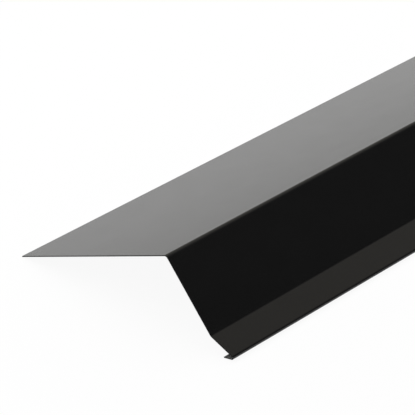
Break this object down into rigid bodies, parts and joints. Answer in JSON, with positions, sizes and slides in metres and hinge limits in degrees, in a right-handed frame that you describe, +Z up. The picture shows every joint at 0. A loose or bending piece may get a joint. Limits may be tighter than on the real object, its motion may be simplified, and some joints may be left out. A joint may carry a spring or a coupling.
{
  "type": "eaves flashing",
  "caption": "Folded strip of black coated steel sheet with a wide roof flange, an angled fascia leg, a drip kick and an open turned-back lip, for leading roof run-off into a gutter.",
  "frame": {"origin": "on the floor, under the middle of the piece's box, as it stands on the flange's free edge and the lip", "axes": "+X along the strip, -Y towards the gutter side that the fascia leg faces, +Z up"},
  "size_m": [2, 0.1322, 0.0375],
  "materials": {
    "coated_steel": "semi-gloss black coil coating on galvanised steel sheet"
  },
  "bodies": {
    "root": {"eaves_flashing": "coated_steel"}
  },
  "joints": []
}
